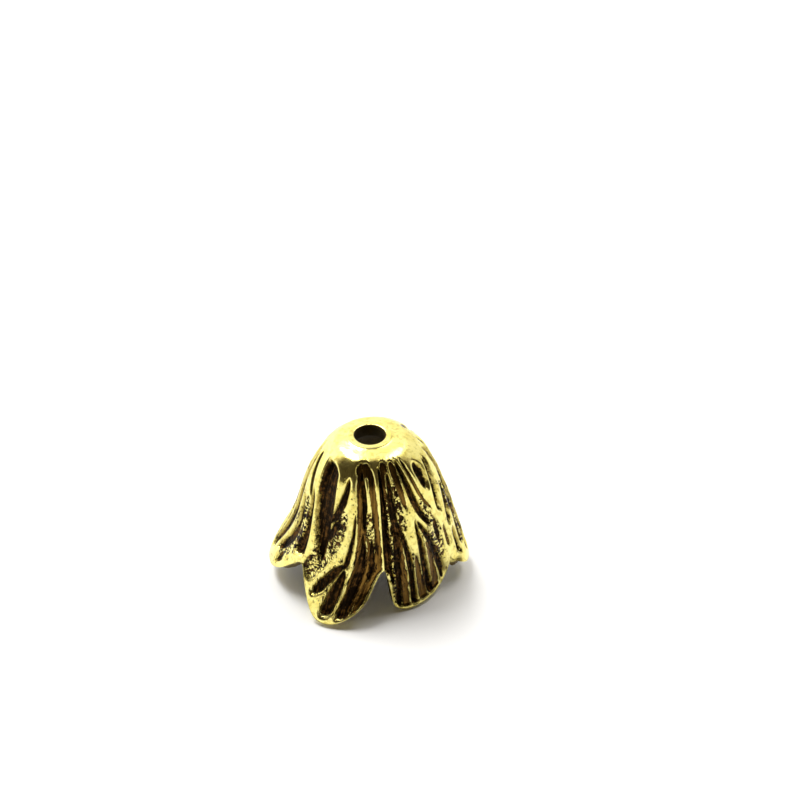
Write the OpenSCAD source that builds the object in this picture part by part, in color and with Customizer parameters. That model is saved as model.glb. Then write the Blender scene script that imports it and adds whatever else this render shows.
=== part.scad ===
// Tulip bead cap: one hollow casting with six petals and a bore through the crown.
// Millimetres. The bore runs up the Z axis, the petal tips stand on z = 0,
// and the petals that face the viewer point to -Y.
// A place on a petal is two shares: u runs across it from -1 at its left edge to 1,
// and s runs down it from 0 at the crown to 1 at the tip.

/* [Bore and crown] */
// Radius of the bore through the crown
bore_r = 1.25; // [0.8:0.05:1.5]
// Radius of the flat ring round the bore
ring_r = 1.75; // [1.7:0.05:2.2]
// Thickness of the metal at the crown
crown_wall = 1.2; // [0.9:0.1:1.6]

/* [Body] */
// Height from the table under the tips to the crown
cap_h = 13.6; // [9:0.1:18]
// Radius of the mouth, before each petal's own flare
mouth_r = 8; // [6:0.1:11]
// Thickness of the metal in the petals
petal_wall = 0.85; // [0.6:0.05:1.2]
// How far the rim of a petal swells out, as a share of its wall
rim_swell = 0.38; // [0.1:0.02:0.5]

/* [Veins] */
// Depth of the carved veins, where 1 is the depth in the table
vein_share = 1; // [0:0.05:1.2]
// Share of the petal that stays smooth along its rim
rim_band = 0.03; // [0.02:0.005:0.08]

/* [Mesh] */
// Steps across each petal, close together so that they show the veins, an even number
cols = 34; // [20:2:40]
// Steps from the crown down to the notches, an even number
hood_rows = 14; // [10:2:20]
// Steps from the notches down to the tips, an even number
lobe_rows = 6; // [4:2:10]

/* [Hidden] */

petals = 6;
rows = hood_rows + lobe_rows;
ring = petals * cols;
// Stations between which the outside turns from dome to petals
dome_end = 0.1;
petal_start = 0.45;
// How much of a vein's depth is its channel, where the rest is its shoulders
channel_share = 0.66;
// How far the shoulders reach past the channel, as a share of half the petal
shoulder_reach = 0.12;
// How much of the way down a petal the round end of a vein takes
end_run = 0.055;

// Outline from the ring to the tips: station, radius as a share of mouth_r past the
// ring, height as a share of cap_h
OUTLINE = [
    [0.000, 0.000, 1.000],
    [0.012, 0.008, 0.993],
    [0.100, 0.208, 0.969],
    [0.200, 0.384, 0.891],
    [0.300, 0.488, 0.789],
    [0.450, 0.592, 0.625],
    [0.600, 0.688, 0.468],
    [0.750, 0.800, 0.311],
    [0.900, 0.936, 0.150],
    [1.000, 1.030, 0.034],
];

// Seams, where seam n lies between petal n and the next one: bearing at the crown,
// bearing at the notch, station of the notch, depth of the fold, bow in degrees half way
SEAMS = [
    [8.5, 9.6, 0.73, 0.30, 0],
    [45, 69, 0.86, 0.08, 2],
    [110, 122, 0.72, 0.35, 0],
    [170, 179, 0.72, 0.35, 0],
    [232, 238, 0.72, 0.35, 0],
    [294, 308, 0.79, 0.02, 3],
];

// Petals: bearing of the tip, half width of the tip, share that the tip rounds off,
// squareness of the tip, slant of the tip, swell at mid height, swell at the shoulder,
// flare of the tip, rise of the tip, lean of the veins at the crown and at the tip,
// row set of the veins, side that the set is drawn from
PETALS = [
    [-24, 2.35, 0.17, 2.0, -0.05, 0.0, 0.0, 0.35, 0.26, 0.15, -0.30, 0, 1],
    [42, 2.85, 0.09, 3.8, 0.04, 0.3, 0.0, -1.40, -0.42, 0.00, 0.00, 1, 1],
    [88, 2.10, 0.12, 2.5, 0.00, 0.74, 0.0, -0.06, 0.80, 0.00, 0.00, 2, 1],
    [149, 2.40, 0.14, 2.5, 0.02, 0.1, 0.0, 0.50, -0.31, -0.10, 0.20, 0, -1],
    [209, 2.40, 0.14, 2.8, 0.00, 0.15, -0.40, 0.50, -0.16, 0.05, -0.10, 1, -1],
    [271, 2.40, 0.12, 3.0, 0.00, 0.10, -0.35, 0.20, 0.85, 0.00, 0.00, 3, 1],
];
BEARING = 0;
HALF = 1;
ROUND = 2;
SQUARE = 3;
SLANT = 4;
SWELL = 5;
SHOULDER = 6;
FLARE = 7;
RISE = 8;
LEAN_TOP = 9;
LEAN_TIP = 10;
SET = 11;
SIDE = 12;

// Veins: row set, station of the top and of the lower end, place across the petal at
// the top, half way and at the lower end, half width at the same three places, depth
VEINS = [
    [0, 0.15, 0.74, -0.76, -0.62, -0.44, 0.35, 0.30, 0.05, 0.55],
    [0, 0.19, 0.50, 0.03, -0.06, -0.42, 0.04, 0.10, 0.15, 0.42],
    [0, 0.42, 0.62, -0.02, -0.24, -0.46, 0.03, 0.12, 0.13, 0.40],
    [0, 0.36, 0.80, 0.02, -0.17, -0.66, 0.06, 0.20, 0.18, 0.12],
    [0, 0.56, 0.86, -0.38, -0.60, -0.84, 0.05, 0.19, 0.18, 0.12],
    [0, 0.38, 0.74, 0.35, 0.33, 0.27, 0.02, 0.05, 0.07, 0.34],
    [0, 0.68, 0.92, 0.28, -0.12, -0.62, 0.06, 0.19, 0.17, 0.42],
    [0, 0.71, 1.01, 0.30, 0.21, 0.02, 0.05, 0.17, 0.24, 0.50],
    [0, 0.11, 1.01, 0.33, 0.56, 0.62, 0.12, 0.13, 0.20, 0.24],
    [0, 0.09, 0.21, 0.48, 0.46, 0.44, 0.36, 0.34, 0.26, 0.17],
    [0, 0.13, 0.50, 0.36, 0.55, 0.58, 0.06, 0.07, 0.03, 0.50],
    [0, 0.48, 1.01, 0.54, 0.62, 0.54, 0.02, 0.09, 0.17, 0.50],
    [0, 0.34, 0.58, 0.66, 0.73, 0.78, 0.03, 0.09, 0.06, 0.12],
    [0, 0.52, 0.80, 0.77, 0.81, 0.83, 0.02, 0.05, 0.04, 0.46],
    [0, 0.50, 0.94, 0.69, 0.77, 0.80, 0.03, 0.05, 0.07, 0.22],
    [0, 0.12, 0.98, 0.70, 0.91, 0.83, 0.15, 0.08, 0.09, 0.20],
    [1, 0.12, 0.84, -0.93, -0.90, -0.90, 0.12, 0.13, 0.05, 0.52],
    [1, 0.09, 0.19, -0.52, -0.56, -0.60, 0.34, 0.32, 0.24, 0.17],
    [1, 0.13, 0.38, -0.66, -0.74, -0.79, 0.14, 0.10, 0.04, 0.22],
    [1, 0.15, 0.48, -0.40, -0.53, -0.52, 0.06, 0.13, 0.12, 0.46],
    [1, 0.42, 0.55, -0.52, -0.51, -0.50, 0.10, 0.21, 0.12, 0.52],
    [1, 0.48, 1.01, -0.54, -0.68, -0.84, 0.10, 0.09, 0.06, 0.50],
    [1, 0.50, 1.01, -0.46, -0.55, -0.63, 0.04, 0.09, 0.13, 0.20],
    [1, 0.48, 1.01, -0.38, -0.34, -0.35, 0.07, 0.08, 0.11, 0.50],
    [1, 0.24, 0.98, -0.74, -0.72, -0.88, 0.06, 0.12, 0.05, 0.12],
    [1, 0.18, 0.52, -0.22, -0.30, -0.26, 0.04, 0.10, 0.08, 0.12],
    [1, 0.10, 0.40, 0.08, -0.01, -0.01, 0.30, 0.19, 0.05, 0.18],
    [1, 0.10, 0.56, 0.52, 0.41, 0.74, 0.10, 0.14, 0.05, 0.48],
    [1, 0.50, 0.70, 0.90, 0.84, 0.80, 0.05, 0.12, 0.04, 0.32],
    [1, 0.34, 0.82, 0.66, 0.72, 0.70, 0.05, 0.16, 0.10, 0.12],
    [1, 0.11, 0.47, 0.94, 0.76, 1.03, 0.13, 0.10, 0.05, 0.20],
    [1, 0.44, 1.01, 0.24, 0.10, 0.36, 0.02, 0.10, 0.13, 0.50],
    [1, 0.46, 0.96, 0.26, 0.53, 0.80, 0.03, 0.11, 0.07, 0.44],
    [1, 0.60, 1.01, 0.28, 0.40, 0.55, 0.04, 0.11, 0.14, 0.22],
    [1, 0.66, 1.01, -0.14, -0.10, 0.03, 0.03, 0.13, 0.18, 0.22],
    [2, 0.16, 0.35, -0.68, -0.77, -0.83, 0.15, 0.16, 0.08, 0.50],
    [2, 0.17, 0.52, -0.16, -0.57, -0.80, 0.04, 0.08, 0.05, 0.46],
    [2, 0.36, 0.66, -0.20, -0.45, -0.68, 0.03, 0.08, 0.04, 0.42],
    [2, 0.58, 0.80, -0.86, -0.90, -0.90, 0.03, 0.07, 0.04, 0.30],
    [2, 0.66, 0.92, -0.57, -0.60, -0.63, 0.02, 0.07, 0.05, 0.40],
    [2, 0.30, 0.88, 0.04, -0.24, -0.38, 0.04, 0.08, 0.06, 0.38],
    [2, 0.34, 0.90, -0.28, -0.26, -0.30, 0.04, 0.12, 0.14, 0.12],
    [2, 0.20, 0.97, 0.16, -0.04, -0.08, 0.04, 0.07, 0.09, 0.40],
    [2, 0.16, 0.62, 0.32, 0.22, 0.05, 0.08, 0.09, 0.03, 0.42],
    [2, 0.46, 0.99, 0.24, 0.16, 0.24, 0.02, 0.07, 0.10, 0.22],
    [2, 0.18, 0.97, 0.50, 0.38, 0.48, 0.05, 0.06, 0.11, 0.46],
    [2, 0.14, 0.52, 0.74, 0.62, 0.84, 0.10, 0.08, 0.03, 0.22],
    [2, 0.26, 0.86, 0.93, 0.74, 0.78, 0.04, 0.09, 0.08, 0.44],
    [3, 0.17, 0.42, 0.32, 0.54, 0.78, 0.05, 0.06, 0.02, 0.36],
    [3, 0.34, 0.78, 0.79, 0.91, 0.82, 0.02, 0.11, 0.10, 0.50],
    [3, 0.42, 0.90, 0.44, 0.54, 0.36, 0.02, 0.10, 0.12, 0.42],
    [3, 0.40, 0.92, 0.66, 0.72, 0.56, 0.03, 0.08, 0.08, 0.12],
    [3, 0.20, 0.96, 0.05, 0.14, -0.12, 0.04, 0.12, 0.14, 0.40],
    [3, 0.16, 0.70, -0.16, -0.14, -0.30, 0.05, 0.06, 0.03, 0.40],
    [3, 0.52, 0.99, -0.08, -0.22, -0.34, 0.02, 0.06, 0.08, 0.20],
    [3, 0.20, 0.96, -0.36, -0.48, -0.54, 0.05, 0.05, 0.06, 0.34],
    [3, 0.14, 0.48, -0.58, -0.62, -0.74, 0.10, 0.07, 0.02, 0.22],
    [3, 0.22, 0.86, -0.88, -0.76, -0.82, 0.05, 0.06, 0.05, 0.38],
    [3, 0.84, 0.96, 0.60, 0.66, 0.72, 0.06, 0.11, 0.08, 0.30],
];
S_TOP = 1;
S_TIP = 2;
U_TOP = 3;
U_MID = 4;
U_TIP = 5;
W_TOP = 6;
W_MID = 7;
W_TIP = 8;
DEPTH = 9;

function mix(a, b, t) = a + (b - a) * t;
function clamp(x, a, b) = min(max(x, a), b);
// Soft step from 0 at a to 1 at b
function ramp(a, b, x) = let (t = clamp((x - a) / (b - a), 0, 1)) t * t * (3 - 2 * t);
function wrap(i) = (i + petals) % petals;
// The same bearing, counted so that it lies next to a second one
function near(a, b) = a - 360 * round((a - b) / 360);

// Smooth curve through the outline rows
function span(s, k = 0) = k + 2 >= len(OUTLINE) || s < OUTLINE[k + 1][0] ? k : span(s, k + 1);
function slope(k, c) = let (a = max(k - 1, 0), b = min(k + 1, len(OUTLINE) - 1))
    (OUTLINE[b][c] - OUTLINE[a][c]) / (OUTLINE[b][0] - OUTLINE[a][0]);
function along(s, c) =
    let (k = span(s), h = OUTLINE[k + 1][0] - OUTLINE[k][0], t = (s - OUTLINE[k][0]) / h)
    OUTLINE[k][c] * (2 * t * t * t - 3 * t * t + 1)
    + OUTLINE[k + 1][c] * (3 * t * t - 2 * t * t * t)
    + h * slope(k, c) * (t * t * t - 2 * t * t + t)
    + h * slope(k + 1, c) * (t * t * t - t * t);
function radius(s) = ring_r + (mouth_r - ring_r) * along(s, 1);
function height(s) = cap_h * along(s, 2);

// Bearing of a seam, which runs on below its notch as a guide for the veins
function seam_bearing(n, s) =
    let (t = clamp((s - dome_end) / (SEAMS[n][2] - dome_end), 0, 1.6), c = min(t, 1))
    mix(SEAMS[n][0], SEAMS[n][1], t) + SEAMS[n][4] * 4 * c * (1 - c);
// How far below a notch a station is, from 0 at the notch to 1 at the tip
function free(n, s) = clamp((s - SEAMS[n][2]) / (1 - SEAMS[n][2]), 0, 1);
function seam_on(i, u) = u < 0 ? wrap(i - 1) : i;

function bearing(i, u, s) =
    let (p = PETALS[i], w = u + (1 - u * u) * mix(p[LEAN_TOP], p[LEAN_TIP], s),
        left = near(seam_bearing(wrap(i - 1), s), p[BEARING]),
        right = near(seam_bearing(i, s), p[BEARING]),
        r = radius(s) + p[FLARE] * ramp(0.6, 1, s),
        tip = p[BEARING] + w * p[HALF] / r * 180 / PI,
        share = mix(ramp(petal_start, 1, s), pow(free(seam_on(i, u), s), 0.6), u * u))
    mix(mix(left, right, (w + 1) / 2), tip, share);

// Station on the rim of a petal, and station of a mesh row
function rim_station(i, u) = let (p = PETALS[i], bow = pow(1 - pow(abs(u), p[SQUARE]), 1 / p[SQUARE]))
    1 - p[ROUND] * (1 - bow) - p[SLANT] * (u + 1) / 2;
function notch_station(i, u) = mix(SEAMS[wrap(i - 1)][2], SEAMS[i][2], (u + 1) / 2);
function station(i, u, k) = k == 1 ? OUTLINE[1][0]
    : k <= hood_rows ? notch_station(i, u) * pow(k / hood_rows, 1.2)
    : mix(notch_station(i, u), rim_station(i, u), (k - hood_rows) / lobe_rows);

// What a petal adds to the outline: [radius, height]
function own(i, s) = let (p = PETALS[i], shoulder = (s - 0.2) / 0.14)
    [p[SWELL] * sin(180 * clamp((s - 0.08) / 0.92, 0, 1))
        + p[SHOULDER] * exp(-shoulder * shoulder) * ramp(0, 0.1, s)
        + p[FLARE] * ramp(0.55, 1, s),
        p[RISE] * ramp(0.6, 1, s)];
// The same at one of its edges, where it meets its neighbour in a fold above the notch
function edge(i, u, s) =
    let (n = seam_on(i, u), other = u < 0 ? wrap(i - 1) : wrap(i + 1),
        fold = [SEAMS[n][3] * ramp(0.12, 0.6, s), 0])
    mix((own(i, s) + own(other, s)) / 2, own(i, s), ramp(0, 1, free(n, s))) - fold;

// Point of the outside before the veins are carved: [radius, height]
function skin(i, u, s) = [radius(s), height(s)] + mix(own(i, s), edge(i, u, s), u * u);
// Way out of the metal there, in the same plane, straight up at the crown
function way_out(i, u, s) =
    let (a = skin(i, u, max(s - 0.03, 0)), b = skin(i, u, s + 0.03),
        x = (a[1] - b[1]) * ramp(0, 0.12, s), y = b[0] - a[0])
    [x, y] / norm([x, y]);

// Smooth curve through three values along a vein
function through(a, b, c, t) = a * (1 - t) * (1 - 2 * t) + b * 4 * t * (1 - t) + c * t * (2 * t - 1);
// Depth of one vein: a channel with soft shoulders, rounded off at both ends
function scoop(v, u, s) = s <= v[S_TOP] || s >= v[S_TIP] ? 0 :
    let (t = (s - v[S_TOP]) / (v[S_TIP] - v[S_TOP]),
        ends = ramp(0, 0.035, s - v[S_TOP]) * ramp(0, 0.045, v[S_TIP] - s),
        round = sqrt(max(min((s - v[S_TOP]) / end_run, 1) * min((v[S_TIP] - s) / end_run, 1), 0.02)),
        half = through(v[W_TOP], v[W_MID], v[W_TIP], t) * round,
        off = abs(u - through(v[U_TOP], v[U_MID], v[U_TIP], t)),
        channel = max(1 - pow(off / half, 4), 0),
        shoulder = max(1 - max(off - half, 0) / shoulder_reach, 0))
    v[DEPTH] * ends * mix(shoulder * shoulder, channel, channel_share);
VEINS_OF = [for (p = PETALS) [for (v = VEINS) if (v[0] == p[SET]) v]];
function carved(i, u, s) =
    let (from_rim = ramp(0.2, 1, (rim_station(i, u) - s) / rim_band),
        from_edge = 1 - ramp(0.95, 1, abs(u)))
    vein_share * from_rim * from_edge
    * max([for (v = VEINS_OF[i]) scoop(v, u * PETALS[i][SIDE], s)]);

function wall(s) = mix(crown_wall, petal_wall, ramp(0, 0.35, s));
// Point in space at some depth below the outside
function point(i, u, s, depth) =
    let (q = skin(i, u, s) - way_out(i, u, s) * depth, b = bearing(i, u, s))
    [q[0] * sin(b), -q[0] * cos(b), q[1]];
function across(j, n) = 2 * j / n - 1;
// Depth carved at every mesh point of the outside
CARVED = [for (i = [0:petals - 1]) [for (k = [0:rows]) [for (j = [0:cols])
    let (u = across(j, cols)) carved(i, u, station(i, u, k))]]];
function outer(i, j, k) = let (u = across(j, cols))
    point(i, u, station(i, u, k), CARVED[i][k][j]);
// The inside has half as many steps each way
function inner(i, j, k) = let (u = across(j, cols / 2), s = station(i, u, 2 * k))
    point(i, u, k == 0 ? 0 : s, k == 0 ? crown_wall : wall(s));

// Steps round the free rim of a petal, from one notch over the tip to the other
rim_steps = 2 * lobe_rows + cols;
function rim_place(p) = p <= lobe_rows ? [0, hood_rows + p]
    : p <= lobe_rows + cols ? [p - lobe_rows, rows]
    : [cols, rows - (p - lobe_rows - cols)];
function rim_point(i, p, depth) =
    let (q = rim_place(clamp(p, 0, rim_steps)), u = across(q[0], cols), s = station(i, u, q[1]))
    point(i, u, s, depth);
function swell(i, p) =
    let (a = rim_point(i, p - 1, 0), b = rim_point(i, p + 1, 0),
        face = rim_point(i, p, 0) - rim_point(i, p, petal_wall),
        out = cross(face, b - a), grow = clamp(min(p, rim_steps - p) / 3, 0, 1))
    (rim_point(i, p, 0) + rim_point(i, p, petal_wall)) / 2
    + out / norm(out) * petal_wall * rim_swell * grow;

// Numbering of the points. The hood rows are shared rings and each lobe has its own
// rows, for the outside, the inside and the middle of the rim
half_cols = cols / 2;
half_ring = ring / 2;
half_hood = hood_rows / 2;
half_lobe = lobe_rows / 2;
lobe_base = ring * (hood_rows + 1);
inner_base = lobe_base + petals * lobe_rows * (cols + 1);
inner_lobe_base = inner_base + half_ring * (half_hood + 1);
notch_base = inner_lobe_base + petals * half_lobe * (half_cols + 1);
rim_base = notch_base + petals;
function outer_id(i, j, k) = k <= hood_rows ? k * ring + (i * cols + j) % ring
    : lobe_base + (i * lobe_rows + k - hood_rows - 1) * (cols + 1) + j;
function inner_id(i, j, k) = k <= half_hood
    ? inner_base + k * half_ring + (i * half_cols + j) % half_ring
    : inner_lobe_base + (i * half_lobe + k - half_hood - 1) * (half_cols + 1) + j;
function rim_id(i, p) = p == 0 ? notch_base + wrap(i - 1) : p == rim_steps ? notch_base + i
    : rim_base + i * (rim_steps - 1) + p - 1;

function cap_points() = concat(
    [for (k = [0:hood_rows], i = [0:petals - 1], j = [0:cols - 1]) outer(i, j, k)],
    [for (i = [0:petals - 1], k = [hood_rows + 1:rows], j = [0:cols]) outer(i, j, k)],
    [for (k = [0:half_hood], i = [0:petals - 1], j = [0:half_cols - 1]) inner(i, j, k)],
    [for (i = [0:petals - 1], k = [half_hood + 1:rows / 2], j = [0:half_cols]) inner(i, j, k)],
    [for (i = [0:petals - 1]) swell(i, rim_steps)],
    [for (i = [0:petals - 1], p = [1:rim_steps - 1]) swell(i, p)]
);

function quad(a, b, c, d) = [[a, b, c], [a, c, d]];
// A quad of the outside is split between the two corners that are carved most alike
function carved_quad(i, j, k) =
    let (c = CARVED[i], p = outer_id(i, j, k), q = outer_id(i, j + 1, k),
        r = outer_id(i, j + 1, k + 1), t = outer_id(i, j, k + 1))
    abs(c[k][j] - c[k + 1][j + 1]) <= abs(c[k][j + 1] - c[k + 1][j])
        ? quad(p, q, r, t) : quad(q, r, t, p);
function flat(parts) = [for (part = parts) each part];
function cap_faces() = concat(
    [[for (n = [ring - 1:-1:0]) n]],
    [[for (n = [0:half_ring - 1]) inner_base + n]],
    flat([for (i = [0:petals - 1], k = [0:rows - 1], j = [0:cols - 1])
        carved_quad(i, j, k)]),
    flat([for (i = [0:petals - 1], k = [0:rows / 2 - 1], j = [0:half_cols - 1])
        quad(inner_id(i, j, k), inner_id(i, j, k + 1),
            inner_id(i, j + 1, k + 1), inner_id(i, j + 1, k))]),
    flat([for (i = [0:petals - 1], p = [0:rim_steps - 1])
        let (a = rim_place(p), b = rim_place(p + 1))
        quad(outer_id(i, a[0], a[1]), outer_id(i, b[0], b[1]), rim_id(i, p + 1), rim_id(i, p))]),
    flat([for (i = [0:petals - 1], q = [0:rim_steps / 2 - 1])
        let (a = rim_place(2 * q) / 2, b = rim_place(2 * q + 2) / 2,
            c = inner_id(i, a[0], a[1]), d = inner_id(i, b[0], b[1]))
        [[rim_id(i, 2 * q), rim_id(i, 2 * q + 1), c],
            [rim_id(i, 2 * q + 1), d, c],
            [rim_id(i, 2 * q + 1), rim_id(i, 2 * q + 2), d]]])
);

// The whole casting
module cap() {
    color("goldenrod") difference() {
        polyhedron(points = cap_points(), faces = cap_faces(), convexity = 8);
        translate([0, 0, cap_h - crown_wall - 1])
            cylinder(h = crown_wall + 2, r = bore_r, $fn = 96);
    }
}

cap();
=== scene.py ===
import functools
import math

import bpy
import numpy as np
from mathutils import Matrix, Vector


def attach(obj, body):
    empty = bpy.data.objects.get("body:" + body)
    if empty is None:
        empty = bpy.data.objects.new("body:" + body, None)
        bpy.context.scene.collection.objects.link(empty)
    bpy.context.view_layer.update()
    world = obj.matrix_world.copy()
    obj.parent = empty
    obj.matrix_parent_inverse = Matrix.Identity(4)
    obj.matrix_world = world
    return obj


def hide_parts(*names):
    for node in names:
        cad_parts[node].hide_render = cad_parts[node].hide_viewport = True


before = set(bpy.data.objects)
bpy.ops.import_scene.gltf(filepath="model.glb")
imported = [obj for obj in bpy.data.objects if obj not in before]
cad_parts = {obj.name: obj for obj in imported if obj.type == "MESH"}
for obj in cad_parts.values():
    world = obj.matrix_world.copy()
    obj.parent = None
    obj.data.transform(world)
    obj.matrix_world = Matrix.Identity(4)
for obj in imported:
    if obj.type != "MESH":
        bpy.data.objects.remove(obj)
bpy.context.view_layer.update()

# The view: the cap stands mouth down on the table, seen from the front and from
# above, through a long lens, so that the ring at the crown shows as a narrow oval.
VIEW_HEIGHT = math.radians(38)
VIEW_DISTANCE = 0.220
AIM = Vector((0.0, 0.0, 0.0136))
AIM_YAW = math.radians(0.798)
AIM_PITCH = math.radians(-37.288)
FILM_MM = 36.0
LENS_MM = 123.75

lens = bpy.data.cameras.new("view")
lens.sensor_width = FILM_MM
lens.lens = LENS_MM
lens.clip_start = 0.01
lens.clip_end = 10.0
view = bpy.data.objects.new("view", lens)
view.location = AIM + VIEW_DISTANCE * Vector((0, -math.cos(VIEW_HEIGHT), math.sin(VIEW_HEIGHT)))
look = Vector((math.sin(AIM_YAW) * math.cos(AIM_PITCH),
               math.cos(AIM_YAW) * math.cos(AIM_PITCH), math.sin(AIM_PITCH)))
view.rotation_euler = look.to_track_quat("-Z", "Y").to_euler()
bpy.context.collection.objects.link(view)
bpy.context.scene.camera = view


# The cap: one zinc alloy casting in the form of a tulip flower, with a bore through a
# flat ring at the crown, a smooth dome, and six flared petals that part at notches. It is
# plated pale gold, blackened and polished, so that black stays in the veins and pits.
MM = 0.001
BORE_R = 1.25
RING_R = 1.75
MOUTH_R = 8.0
CAP_H = 13.6
CROWN_WALL = 1.2
PETAL_WALL = 0.85
RIM_SWELL = 0.38
RIM_BAND = 0.03
PETALS = 6

# A station tells how far down the cap a place is, from 0 at the ring to 1 at a petal's
# tip. Outline: station, radius as a share of the way from the ring to the mouth, and
# height as a share of the cap's
OUTLINE = np.array([
    (0.000, 0.000, 1.000),
    (0.012, 0.008, 0.993),
    (0.100, 0.208, 0.969),
    (0.200, 0.384, 0.891),
    (0.300, 0.488, 0.789),
    (0.450, 0.592, 0.625),
    (0.600, 0.688, 0.468),
    (0.750, 0.800, 0.311),
    (0.900, 0.936, 0.150),
    (1.000, 1.030, 0.034),
])

# Seams: bearing at the crown, bearing at the notch, station of the notch, depth of the
# fold, and bow in degrees half way down
SEAMS = [
    dict(crown=8.5, notch=9.6, station=0.73, fold=0.30, bow=0.0),
    dict(crown=45, notch=69, station=0.86, fold=0.08, bow=2.0),
    dict(crown=110, notch=122, station=0.72, fold=0.35, bow=0.0),
    dict(crown=170, notch=179, station=0.72, fold=0.35, bow=0.0),
    dict(crown=232, notch=238, station=0.72, fold=0.35, bow=0.0),
    dict(crown=294, notch=308, station=0.79, fold=0.02, bow=3.0),
]

# Petals: the tip's bearing, half width, rounding, squareness, slant, flare and rise,
# the swell of the side and of the shoulder, the lean of the veins at the crown and at
# the tip, the set of veins, and the side that the set is drawn from
PETAL_COLUMNS = ("bearing", "half", "round", "square", "slant", "swell", "shoulder",
                 "flare", "rise", "lean_top", "lean_tip", "set", "side")
PETAL_ROWS = [
    (-24, 2.35, 0.17, 2.0, -0.05, 0.0, 0.0, 0.35, 0.26, 0.15, -0.30, 0, 1),
    (42, 2.85, 0.09, 3.8, 0.04, 0.3, 0.0, -1.40, -0.42, 0.00, 0.00, 1, 1),
    (88, 2.10, 0.12, 2.5, 0.00, 0.74, 0.0, -0.06, 0.80, 0.00, 0.00, 2, 1),
    (149, 2.40, 0.14, 2.5, 0.02, 0.1, 0.0, 0.50, -0.31, -0.10, 0.20, 0, -1),
    (209, 2.40, 0.14, 2.8, 0.00, 0.15, -0.40, 0.50, -0.16, 0.05, -0.10, 1, -1),
    (271, 2.40, 0.12, 3.0, 0.00, 0.10, -0.35, 0.20, 0.85, 0.00, 0.00, 3, 1),
]
SHAPES = [dict(zip(PETAL_COLUMNS, row)) for row in PETAL_ROWS]

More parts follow.
